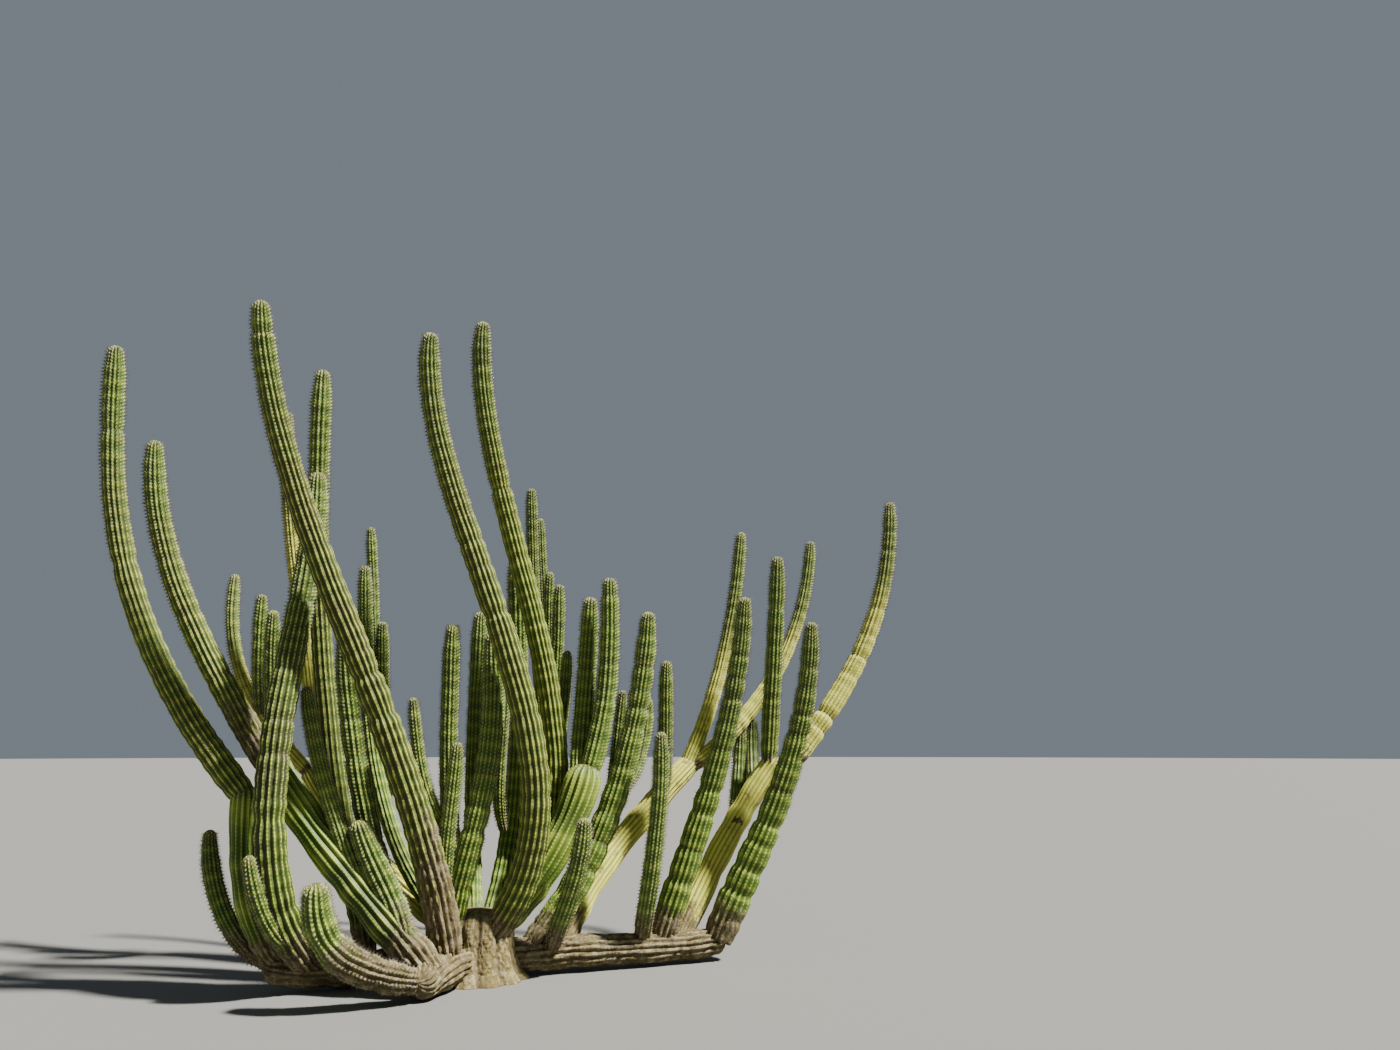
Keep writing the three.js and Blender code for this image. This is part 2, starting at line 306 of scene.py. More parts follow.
    def radius(self, distance):
        """Radius at the crests."""
        tight = self.pinch(distance, self.waists + self.years)
        swell = self.swell_depth * (1 - SWELL_LOSS * self.beads) * self.swelling(distance)
        swell = swell * self.below_tip(distance, *SWELLING_BELOW)
        return self.girth(distance) * (1 - tight + swell) * self.closing(distance)

    def axis(self, distance):
        """Points on the axis and the three directions there: side, depth and along."""
        along = unit(self.read(self.heading, distance))
        depth = unit(np.array((0.0, 1.0, 0.0)) - along * along[:, 1:2])
        return self.read(self.line, distance), np.cross(along, depth), depth, along

    def turn(self, distance, rib):
        """Angle round the axis of a rib, which wanders a little as it climbs."""
        sway = self.wave(SLOW_SWAY, distance, 0) + self.wave(FAST_SWAY, distance, 1)
        return rib / self.ribs * tau + self.twist * distance + sway

    def skin(self, distance, rib, groove):
        """Points of the skin. Whole ribs are crests and halves are grooves."""
        across = 2 * np.abs(rib - np.rint(rib))
        turn = self.turn(distance, rib)
        dents = sum(np.sin(rounds * turn + rate * distance + phase)
                    for (rounds, rate), phase in zip(DENTS, self.phases[2:4]))
        ripple = np.sin(RIPPLE[0] * rib + RIPPLE[1] * distance + self.phases[4])
        radius = self.radius(distance) * (1 + DENT_DEPTH * dents + RIPPLE_DEPTH * ripple)
        radius = radius * (1 - groove * across ** (RIB_CURVE + OLD_RIB_CURVE * self.old(distance)))
        radius = radius - BARK_DEPTH * self.bark(distance, turn, radius)
        centre, side, depth, _ = self.axis(distance)
        return centre + radius[:, None] * (np.sin(turn)[:, None] * side + np.cos(turn)[:, None] * depth)

    def bark(self, distance, turn, radius):
        """How deep the bark is cracked, from 0 to about 1, where the skin has turned to cork."""
        depth = np.zeros_like(distance)
        share = smooth((self.cork(distance) - BARK_CORK) / BARK_EASE)
        for spot in np.flatnonzero(share):
            round_limb = (np.sin(turn[spot]) * radius[spot], np.cos(turn[spot]) * radius[spot])
            place = Vector((*round_limb, distance[spot] * BARK_STRETCH + self.phases[5])) / BARK_WIDTH
            ridge = abs(noise.fractal(place, BARK_FADE, 2.0, BARK_OCTAVES))
            depth[spot] = share[spot] * max(0.0, 1 - FISSURE_SLOPE * ridge)
        return depth

    def rings(self, step):
        """Distances that carry a ring of the skin, closer together on the dome."""
        straight = self.length - self.dome
        count = max(2, ceil(straight / step))
        rise = np.sin(np.linspace(0, pi / 2, DOME_RINGS + 1)[1:])
        return np.concatenate(([0.0], np.linspace(0, straight, count + 1), straight + self.dome * rise))

    def old(self, distance):
        """0 on fresh green skin, 1 on old yellow skin."""
        return self.age * (TIP_AGE + (1 - TIP_AGE) * self.below_tip(distance, *OLD_BELOW))

    def dust_and_shade(self, distance):
        """How dull the skin has gone and how much shade is painted on it, more the further below the tip.
        """
        return self.dullness_and_shade * self.below_tip(distance, *DULL_AND_SHADE_BELOW)

    def worn(self, distance):
        """0 near the tip, where every cushion is whole, and 1 where most have worn away."""
        return self.below_tip(distance, *WORN_BELOW)

    def wool_and_spine_shade(self, distance):
        """1 under the woolly cap of a growing tip, where the shade of its spines is painted."""
        return smooth(1 - (self.length - distance) / WOOL_AND_SPINE_SHADE_REACH)

    def cork(self, distance):
        """How far the skin has turned to cork, most at the foot and near the ground."""
        height = self.read(self.line, distance)[:, 2]
        foot = FOOT_CORK * smooth(1 - distance / self.cork_length)
        foot = foot * (YOUNG_CORK + (1 - YOUNG_CORK) * self.age)
        return np.maximum(foot, GROUND_CORK * smooth((GROUND_CORK_TOP - height) / GROUND_CORK_REACH))

    def marks(self, distance, rib):
        """What the material reads at each corner of the skin, by name."""
        rings = [(place, min(1.0, FAINT_RING + RING_GAIN * depth))
                 for place, depth in self.waists + self.years]
        marks = {"waist": self.pinch(distance, rings)}
        marks["crack"] = self.bark(distance, self.turn(distance, rib), self.radius(distance))
        for state in (self.old, self.dust_and_shade, self.worn, self.cork, self.wool_and_spine_shade, self.swelling):
            marks[state.__name__] = state(distance)
        return marks


class Bough(Limb):
    """A low bough that carries stems: corky all along, with a blunt end."""

    dome_reach = 1.0
    taper = 0.0
    swell_length = BOUGH_SWELL_LENGTH
    swell_depth = BOUGH_SWELL_DEPTH
    groove = "bough_groove"

    def old(self, distance):
        return np.full_like(distance, self.age)

    def worn(self, distance):
        return np.ones_like(distance)

    def cork(self, distance):
        return np.maximum(BOUGH_CORK + OLD_BOUGH_CORK * self.age, super().cork(distance))


class Crown(Bough):
    """The short flared stem at ground level that the boughs leave."""

    points_per_rib = CROWN_POINTS_PER_RIB
    groove = "crown_groove"

    def __init__(self):
        wide = 2 * CROWN_RADII[-1]
        super().__init__("crown", (0, 0, 0), (0, 0, CROWN_HEIGHT), (0, 0, 0, 0), (wide, wide), age=1.0)
        self.dome = CROWN_DOME
        self.ribs = CROWN_LOBES
        self.years = []
        self.twist = 0.0

    def girth(self, distance):
        return np.interp(distance, CROWN_HEIGHTS, CROWN_RADII)

    def swelling(self, distance):
        return np.zeros_like(distance)

    def cork(self, distance):
        return np.ones_like(distance)


CROWN = Crown()

BOUGHS = [
    Bough("left_low_bough", (-0.09, -0.04, 0.12), (-1.19, -0.48, 0.16), (-84, -75, -72, -45),
         (0.225, 0.19), age=0.5),
    Bough("left_fork_bough", (-1.09, -0.44, 0.15), (-1.37, -0.495, 1.215), (-40, -20, 0, 0), (0.18, 0.172)),
    Bough("front_low_bough", (-0.04, -0.08, 0.12), (-0.2, -0.74, 0.12), (-60, -84, -40, -80),
         (0.22, 0.2), age=0.5),
    # the near bough gets dull skin with painted shade, as it stands in shade
    Bough("near_bough", (-0.16, -0.55, 0.12), (-1.29, -0.35, 1.37), (-44, 8, -34, 12),
         (0.24, 0.205), age=0.15, dust_and_shade=0.5),
    Bough("right_low_bough", (0.09, 0.04, 0.11), (1.6, 0.625, 0.13), (84, 70, 84, 77),
         (0.235, 0.19), age=0.5),
    Bough("right_inner_bough", (0.09, 0.03, 0.29), (0.66, 0.215, 1.33), (50, 4, 12, 8),
         (0.205, 0.25), age=0.3),
    Bough("right_back_bough", (0.5, 0.215, 0.13), (1.37, 1.04, 1.35), (14, 42, 42, 32),
         (0.19, 0.165), age=1.0),
    Bough("right_outer_bough", (1.27, 0.525, 0.13), (2, 0.92, 1.37), (28, 45, 38, 12),
         (0.19, 0.17), age=1.0),
    Bough("back_left_bough", (-0.09, 0.07, 0.235), (-1.36, 0.52, 1.29), (-66, 50, -34, 4),
         (0.18, 0.14), age=1.0),
    Bough("back_bough", (0.03, 0.11, 0.23), (0.29, 1.33, 0.83), (30, 74, 0, 40), (0.19, 0.15)),
]

LEFT_STEMS = [
    Limb("left_outer_stem", (-1.34, -0.495, 1.11), (-2.42, -0.6, 4.04), (-42, -2, -2, -2),
         (0.176, 0.128), waists=(0.54, 0.82), bow=(-0.07, 0), age=0.55, beads=0.05, dust_and_shade=0.5),
    Limb("left_second_stem", (-1.25, -0.35, 1.27), (-2.2, -0.4, 3.45), (-34, -3, 0, -2),
         (0.18, 0.132), age=0.55, beads=0.06, dust_and_shade=0.5, cork=1.3),
    Limb("left_front_stem", (-0.93, -0.4, 0.145), (-1.1, -0.4, 3.23), (-30, -42, -4, 3),
         (0.222, 0.145), waists=(0.3,), age=0.25, beads=0.07, dust_and_shade=1.0),
    Limb("tallest_stem", (-0.115, -0.3, 0.12), (-1.32, -1, 4.19), (-8, -6, -2, -9),
         (0.224, 0.134), waists=(0.37, 0.43, 0.95), bow=(0.015, 0), age=0.65, beads=0.05,
         dust_and_shade=0.85, cork=2.1),
    Limb("left_inner_stem", (-0.62, -0.245, 0.145), (-1.225, -0.1, 4.05), (-25, 28, -1, 0),
         (0.15, 0.134), bow=(-0.03, 0), age=0.5, dust_and_shade=0.7),
    Limb("left_back_stem", (-1.21, 0.475, 1.09), (-1.73, 0.6, 3.96), (-12, 4, -4, 2),
         (0.11, 0.104), age=1.0),
    Limb("left_thin_stem", (-1.3, 0.5, 1.23), (-2.15, 0.9, 2.75), (-48, 18, -4, 12),
         (0.104, 0.09), bow=(-0.06, 0), age=1.0),
    Limb("left_short_stem", (-1.76, 0.625, 1.68), (-1.77, 0.5, 2.54), (0, -26, 0, 0), (0.1, 0.092)),
    Limb("left_side_stem", (-1.58, 0.545, 1.48), (-1.6, 0.3, 2.4), (-5, -45, -3, 0), (0.11, 0.102)),
    Limb("left_front_stub", (-1.01, -0.52, 0.255), (-1.2, -0.8, 0.83), (-40, -66, -8, 0),
         (0.1, 0.092), beads=0.08),
    Limb("left_outer_stub", (-1.15, -0.465, 0.17), (-1.64, -0.33, 0.94), (-74, 30, 0, 0),
         (0.118, 0.108), beads=0.08),
    Limb("inner_stem", (-0.38, -0.165, 0.145), (-0.92, -0.2, 2.17), (-25, -8, -6, 0),
         (0.16, 0.132), waists=(0.62,), beads=0.11),
    Limb("inner_dome", (-0.33, -0.56, 0.33), (-0.67, -0.5, 1.01), (-24, 24, -16, -6),
         (0.165, 0.18), beads=0.07),
    Limb("inner_lit_stem", (-0.6, -0.52, 0.59), (-1.04, -0.5, 1.82), (-30, 12, -8, -4),
         (0.12, 0.088), beads=0.06),
    Limb("near_low_stem", (-0.215, -0.705, 0.12), (-0.73, -1, 0.7), (-82, -74, -4, -4),
         (0.19, 0.205), waists=(0.62,), bow=(-0.05, -0.06), beads=0.1),
]

MIDDLE_STEMS = [
    Limb("middle_tall_stem", (0.07, -0.05, 0.24), (-0.4, -0.4, 4.21), (42, -16, 5, -4),
         (0.212, 0.136), waists=(0.52,), bow=(0.05, 0), age=0.6, beads=0.06, dust_and_shade=0.6),
    Limb("middle_second_stem", (0.07, 0.11, 0.24), (-0.15, 0.1, 4.49), (46, 34, 5, -1),
         (0.185, 0.132), waists=(0.72,), bow=(0.03, 0), age=0.6, beads=0.05),
    Limb("middle_inner_stem", (0.03, 0.11, 0.26), (0.06, 0.56, 2.81), (12, 54, -5, 0),
         (0.15, 0.132), beads=0.06),
    Limb("middle_left_stem", (-0.15, -0.12, 0.23), (0.04, -0.1, 2.2), (4, -18, -4, 2),
         (0.165, 0.142), waists=(0.36,), bow=(0.06, 0), beads=0.09),
    Limb("middle_left_back_stem", (-0.04, 0.11, 0.25), (-0.17, 0.5, 2.41), (-18, 44, 0, 0),
         (0.13, 0.114), beads=0.06),
    Limb("middle_fork_stem", (-0.08, 0.06, 0.25), (-0.32, 0.3, 2.3), (-26, 30, 0, 0),
         (0.13, 0.116), beads=0.06),
    Limb("middle_side_stem", (-0.145, -0.15, 0.4), (-0.12, -0.3, 1.48), (-14, -38, 0, 0), (0.105, 0.098)),
    Limb("middle_curved_stem", (-0.165, -0.275, 0.93), (-0.42, -0.3, 1.76), (-38, -12, -8, 0),
         (0.08, 0.072)),
    Limb("middle_thin_stem", (0.08, 0.33, 0.9), (0.08, 0.2, 1.83), (-10, -42, -2, 0), (0.084, 0.078)),
    Limb("middle_back_stem", (0.285, 1.24, 0.79), (0.03, 1.4, 3.55), (-4, 14, -3, 0),
         (0.112, 0.092), bow=(-0.03, 0), age=0.6),
    Limb("middle_far_stem", (0.29, 1.3, 0.8), (0.05, 1.8, 3.38), (-6, 40, -4, 2), (0.094, 0.078), age=0.6),
    Limb("middle_back_thin_stem", (0.255, 1.09, 0.7), (0.23, 1.2, 2.82), (-2, 20, 0, 0), (0.092, 0.08)),
    Limb("middle_back_inner_stem", (0.2, 0.8, 0.52), (0.35, 0.9, 2.67), (10, 14, 0, 0), (0.104, 0.094)),
    Limb("middle_back_low_stem", (0.13, 0.52, 0.38), (0.46, 0.6, 2.14), (24, 14, 2, 0), (0.1, 0.09)),
    Limb("back_left_stem", (-0.13, 0.03, 0.26), (-1.03, 0.5, 2.75), (-54, 16, -5, 3), (0.118, 0.1)),
    Limb("back_left_short_stem", (-0.7, 0.27, 0.93), (-0.88, 0.5, 2.34), (-20, 34, -3, 0), (0.104, 0.096)),
    Limb("back_left_far_stem", (-0.85, 0.42, 0.69), (-1.19, 1.1, 3.16), (-12, 40, -6, 0), (0.096, 0.078)),
]

RIGHT_STEMS = [
    Limb("right_pair_short_stem", (0.6, 0.21, 1.23), (0.63, 0.5, 2.52), (-2, 40, 0, 0),
         (0.142, 0.132), age=0.1, beads=0.08),
    Limb("right_pair_tall_stem", (0.66, 0.22, 1.24), (0.78, 0.35, 2.64), (18, 14, -2, 0),
         (0.16, 0.128), age=0.12, beads=0.08),
    Limb("right_low_stub", (0.45, 0.14, 0.135), (0.68, -0.1, 1), (20, -52, -2, 0),
         (0.13, 0.122), beads=0.09),
    Limb("right_leaning_stem", (0.3, 0.12, 0.13), (1.06, 0.4, 2.4), (42, 16, 2, 2),
         (0.22, 0.132), waists=(0.72,), beads=0.14),
    Limb("right_leaning_side_stem", (0.9, 0.345, 1.16), (1.05, 0.6, 1.8), (36, 44, 0, 0),
         (0.104, 0.096), beads=0.09),
    Limb("right_back_thin_stem", (0.8, 0.61, 0.72), (0.84, 1, 1.87), (-12, 46, 4, 0), (0.088, 0.08)),
    Limb("right_back_short_stem", (1.15, 0.85, 1.07), (1.18, 0.8, 2.08), (6, -12, 1, 0), (0.112, 0.102)),
    Limb("right_front_stem", (1.03, 0.41, 0.13), (1.16, 0.2, 1.55), (8, -40, -4, 0),
         (0.13, 0.104), age=0.1, beads=0.05),
    Limb("right_upright_stem", (1.15, 0.465, 0.13), (1.76, 0.5, 2.52), (18, 2, 4, 0),
         (0.222, 0.116), waists=(0.43, 0.7), bow=(0.02, 0), beads=0.14),
    Limb("right_forked_stem", (1.55, 0.59, 0.135), (2.25, 0.6, 2.35), (22, 2, 2, 0),
         (0.262, 0.112), waists=(0.36, 0.85), bow=(0.04, 0), age=0.3, beads=0.15),
    Limb("right_outer_stem", (2.07, 0.6, 1.32), (2.93, 1, 3.34), (40, 16, 2, 10),
         (0.17, 0.096), waists=(0.2,), bow=(0.03, 0), age=1.0, beads=0.15),
    Limb("right_back_tall_stem", (1.3, 0.98, 1.25), (1.77, 1.4, 3.18), (26, 18, 4, 8),
         (0.126, 0.096), age=0.85, beads=0.09),
    Limb("right_back_curved_stem", (1.34, 1.01, 1.29), (2.36, 1.6, 3.14), (56, 28, 4, 8),
         (0.14, 0.092), bow=(0.02, 0), age=1.0, beads=0.09),
    Limb("right_bough_stem", (1.94, 0.89, 1.31), (2.03, 0.9, 2.89), (3, 0, 1, 0),
         (0.14, 0.118), waists=(0.74,), age=0.35, beads=0.11),
    Limb("right_hidden_stem", (1.7, 0.77, 0.9), (1.75, 1.2, 1.59), (0, 58, 0, 0), (0.115, 0.108)),
    Limb("right_hidden_back_stem", (1.83, 0.845, 1.11), (1.84, 1.25, 1.66), (-4, 62, 0, 2), (0.1, 0.092)),
]


def triangle_mesh(name, corners, faces):
    """A mesh of loose triangles, for needles and cushions that are joined by the thousand."""
    mesh = bpy.data.meshes.new(name)
    mesh.vertices.add(len(corners))
    mesh.vertices.foreach_set("co", corners.ravel())
    mesh.loops.add(faces.size)
    mesh.loops.foreach_set("vertex_index", faces.ravel())
    mesh.polygons.add(len(faces))
    mesh.polygons.foreach_set("loop_start", np.arange(0, faces.size, 3))
    mesh.update(calc_edges=True)
    return mesh


def show(name, mesh, material, nodes=()):
    """Adds a finished mesh to the scene as a piece that rides on the plant."""
    mesh.materials.append(material)
    piece = bpy.data.objects.new(name, mesh)
    bpy.context.scene.collection.objects.link(piece)
    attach(piece, BODY)
    if nodes:
        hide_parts(*nodes)


def store(mesh, name, values):
    """Stores one number for each corner of the mesh, for its material to read."""
    layer = mesh.attributes.new(name, "FLOAT", "POINT")
    layer.data.foreach_set("value", np.ascontiguousarray(values, np.float32))


def rib_chart(mesh, limb, rib, distance):
    """A chart of the skin: ribs counted round the limb, and metres along it."""
    corner = np.zeros(len(mesh.loops), int)
    mesh.loops.foreach_get("vertex_index", corner)
    starts = np.zeros(len(mesh.polygons), int)
    mesh.polygons.foreach_get("loop_start", starts)
    face = np.repeat(np.arange(len(starts)), np.diff(np.append(starts, len(corner))))
    across = rib[corner]
    behind = np.maximum.reduceat(across, starts)[face] - across > limb.ribs / 2
    across = across + limb.ribs * behind
    chart = mesh.uv_layers.new(name=CHART)
    chart.data.foreach_set("uv", np.stack([across, distance[corner]], axis=1).ravel())


def ball_mesh(name, columns, rings):
    """A closed ball as a mesh, with the ring and the column of each of its corners."""
    ball = bmesh.new()
    bmesh.ops.create_uvsphere(ball, u_segments=columns, v_segments=rings, radius=1)
    mesh = bpy.data.meshes.new(name)
    ball.to_mesh(mesh)
    ball.free()
    places = np.zeros(len(mesh.vertices) * 3)
    mesh.vertices.foreach_get("co", places)
    x, y, z = places.reshape(-1, 3).T
    ring = np.rint(np.arctan2(np.hypot(x, y), -z) / pi * rings).astype(int)
    column = np.rint(np.arctan2(y, x) / tau * columns) % columns
    return mesh, ring, column


def skin_mesh(limb, groove, step):
    """A ball drawn out along the limb, with a crest and a groove for each rib."""
    distances = limb.rings(step)
    columns = limb.ribs * limb.points_per_rib
    mesh, ring, column = ball_mesh(limb.name + "_skin", columns, len(distances) - 1)
    distance = distances[ring]
    rib = column / limb.points_per_rib
    corners = limb.skin(distance, rib, groove)
    foot = ring == 0
    corners[foot] = limb.axis(distance[foot])[0]
    mesh.vertices.foreach_set("co", corners.ravel())
    mesh.shade_smooth()
    rib_chart(mesh, limb, rib, distance)
    for name, values in limb.marks(distance, rib).items():
        store(mesh, name, values)
    mesh.update()
    return mesh


def pattern(make, sizes):
    """Corners and triangles of a small shape, to be repeated."""
    small = bmesh.new()
    make(small, sizes)
    bmesh.ops.remove_doubles(small, verts=small.verts, dist=1e-6)
    bmesh.ops.triangulate(small, faces=small.faces)
    bmesh.ops.recalc_face_normals(small, faces=small.faces)
    corners = np.array([v.co[:] for v in small.verts])
    faces = np.array([[v.index for v in f.verts] for f in small.faces])
    small.free()
    return corners, faces


def needle(small, length, width, lean, turn):
    """One needle: a slim three-sided cone from the middle of its cushion, leaning that way."""
    place = Matrix.Rotation(turn, 4, "Z") @ Matrix.Rotation(radians(lean), 4, "X")
    place = place @ Matrix.Translation((0, 0, length / 2))
    bmesh.ops.create_cone(small, segments=3, radius1=width / 2, radius2=0, depth=length, matrix=place)


def long_needles(small, sizes):
    """The needles that stand out from the middle of a cushion."""
    needle(small, sizes.long_needle, sizes.needle_width, lean=12, turn=0.6)
    needle(small, sizes.long_needle * 0.8, sizes.needle_width, lean=34, turn=3.4)


def star_of_needles(small, sizes):
    """The short needles all round a cushion."""
    for number in range(4):
        needle(small, sizes.short_needle, sizes.needle_width * 0.8, lean=60, turn=number * tau / 4 + 0.4)


def worn_needles(small, sizes):
    """What is left of the needles on old skin."""
    needle(small, sizes.short_needle, sizes.needle_width, lean=30, turn=2.5)
    needle(small, sizes.short_needle * 0.7, sizes.needle_width, lean=62, turn=5.1)


def cushion(small, sizes):
    """A low pad of felt, closed to a point."""
    high = sizes.cushion_width * CUSHION_HEIGHT
    place = Matrix.Translation((0, 0, high * CUSHION_LIFT))
    bmesh.ops.create_cone(small, segments=5, radius1=sizes.cushion_width / 2, radius2=0, depth=high,
                          matrix=place)


def scatter(shape, spots, sizes, spins):
    """Copies of a small shape, each on its spot (place, side, up and out), as one set of arrays."""
    corners, faces = shape
    place, side, up, out = spots
    turned_side = np.cos(spins)[:, None] * side + np.sin(spins)[:, None] * up
    turned_up = np.cos(spins)[:, None] * up - np.sin(spins)[:, None] * side
    moved = corners[None] * sizes[:, None, None]
    points = (place[:, None] + moved[:, :, :1] * turned_side[:, None]
              + moved[:, :, 1:2] * turned_up[:, None] + moved[:, :, 2:] * out[:, None])
    shifts = np.arange(len(place)) * len(corners)
    return points.reshape(-1, 3), (faces[None] + shifts[:, None, None]).reshape(-1, 3)


def crest_spots(limb, distance, rib, groove):
    """Place, side, up and out at points of the crests."""
    low = limb.skin(np.maximum(distance - CREST_REACH, 0), rib, groove)
    high = limb.skin(np.minimum(distance + CREST_REACH, limb.length - TIP_GAP), rib, groove)
    place = limb.skin(distance, rib, groove)
    up = unit(high - low)
    out = place - limb.axis(distance)[0]
    out = unit(out - (out * up).sum(1, keepdims=True) * up)
    return place, np.cross(up, out), up, out


def crest_lattice(limb, step):
    """Distances and ribs of the cushions, set alternately on neighbouring ribs."""
    count = int(limb.length / step)
    row, rib = np.meshgrid(np.arange(1, count), np.arange(limb.ribs), indexing="ij")
    distance = (row + 0.5 * (rib % 2)) * step
    keep = distance < limb.length - BARE_TIP * limb.dome
    return distance[keep], rib[keep].astype(float)


def choose_cushions(limb, distance, height, chance, fresh_length):
    """Which cushions carry each kind: all of them near a tip, and few where they have worn."""
    clear = height > GROUND_CLEARANCE
    least, spread = FRESH_REACH
    young = clear & (limb.length - distance < fresh_length * (least + spread * chance))
    if isinstance(limb, Bough):
        young = np.zeros_like(young)
    kept = clear & ~young & (chance < KEPT_NEEDLES)
    return {"long_needles": young, "short_needles": young, "worn_needles": kept,
            "felt_cushions": young | kept & (chance < KEPT_FELT)}


class Amount:
    """A number that varies over a surface. Arithmetic on it adds the Math nodes."""

    def __init__(self, shade, socket):
        self.shade = shade
        self.socket = socket

    def __add__(self, other):
        return self.shade.math("ADD", self, other)

    def __sub__(self, other):
        return self.shade.math("SUBTRACT", self, other)

    def __rsub__(self, other):
        return self.shade.math("SUBTRACT", other, self)

    def __mul__(self, other):
        return self.shade.math("MULTIPLY", self, other)

    def __truediv__(self, other):
        return self.shade.math("DIVIDE", self, other)

    __radd__ = __add__
    __rmul__ = __mul__


class Shade:
    """Builds the nodes of one material."""

    def __init__(self, name):
        self.material = bpy.data.materials.new(name)
        self.material.use_nodes = True
        self.tree = self.material.node_tree
        self.tree.nodes.clear()

    def node(self, kind, settings=None, sockets=None, result=None):
        """Adds a node, fills its sockets by identifier and gives the named output or the first."""
        node = self.tree.nodes.new(kind)
        for key, value in (settings or {}).items():
            setattr(node, key, value)
        named = {socket.identifier: socket for socket in node.inputs}
        for key, value in (sockets or {}).items():
            if isinstance(value, Amount):
                value = value.socket
            if isinstance(value, bpy.types.NodeSocket):
                self.tree.links.new(value, named[key])
            else:
                named[key].default_value = value
        named = {socket.identifier: socket for socket in node.outputs}
        return named.get(result) if result else next(iter(node.outputs), None)

    def math(self, operation, *values):
        sockets = {name: value for name, value in zip(("Value", "Value_001", "Value_002"), values)}
        return Amount(self, self.node("ShaderNodeMath", {"operation": operation}, sockets))

    def ease(self, value, low, high):
        """0 up to low and 1 from high on, eased between; low may be above high."""
        sockets = {"Value": value, "From Min": low, "From Max": high}
        settings = {"interpolation_type": "SMOOTHSTEP"}
        return Amount(self, self.node("ShaderNodeMapRange", settings, sockets))

    def stored(self, name):
        """A number that the mesh stores for its corners."""
        return Amount(self, self.node("ShaderNodeAttribute", {"attribute_name": name}, result="Fac"))

    def noise(self, scale, detail, stretch=None):
        """Noise round 0.5 in the plant's own space; stretch holds its scales along X, Y and Z."""
        place = self.node("ShaderNodeTexCoord", result="Object")
        if stretch:
            place = self.node("ShaderNodeMapping", None, {"Vector": place, "Scale": stretch})
        sockets = {"Vector": place, "Scale": scale, "Detail": detail, "Roughness": 0.6}
        return Amount(self, self.node("ShaderNodeTexNoise", None, sockets))

    def chart(self):
        """Ribs counted round the limb, and metres along it."""
        chart = self.node("ShaderNodeUVMap", {"uv_map": CHART})
        split = self.tree.nodes.new("ShaderNodeSeparateXYZ")
        self.tree.links.new(chart, split.inputs[0])
        return Amount(self, split.outputs["X"]), Amount(self, split.outputs["Y"])

    def mix(self, share, first, second):
        """The first colour where the share is 0, and the second where it is 1."""
        if not isinstance(first, bpy.types.NodeSocket):
            first = (*first, 1.0)
        if not isinstance(second, bpy.types.NodeSocket):
            second = (*second, 1.0)
        sockets = {"Factor_Float": share, "A_Color": first, "B_Color": second}
        return self.node("ShaderNodeMix", {"data_type": "RGBA"}, sockets, "Result_Color")

    def bump(self, height, distance, strength):
        sockets = {"Height": height, "Distance": distance, "Strength": strength}
        return self.node("ShaderNodeBump", None, sockets)

    def finish(self, **sockets):
        """Ends the material in a Principled shader with these sockets."""
        named = {key.replace("_", " "): value for key, value in sockets.items()}
        surface = self.node("ShaderNodeBsdfPrincipled", None, named)
        self.node("ShaderNodeOutputMaterial", None, {"Surface": surface})
        return self.material


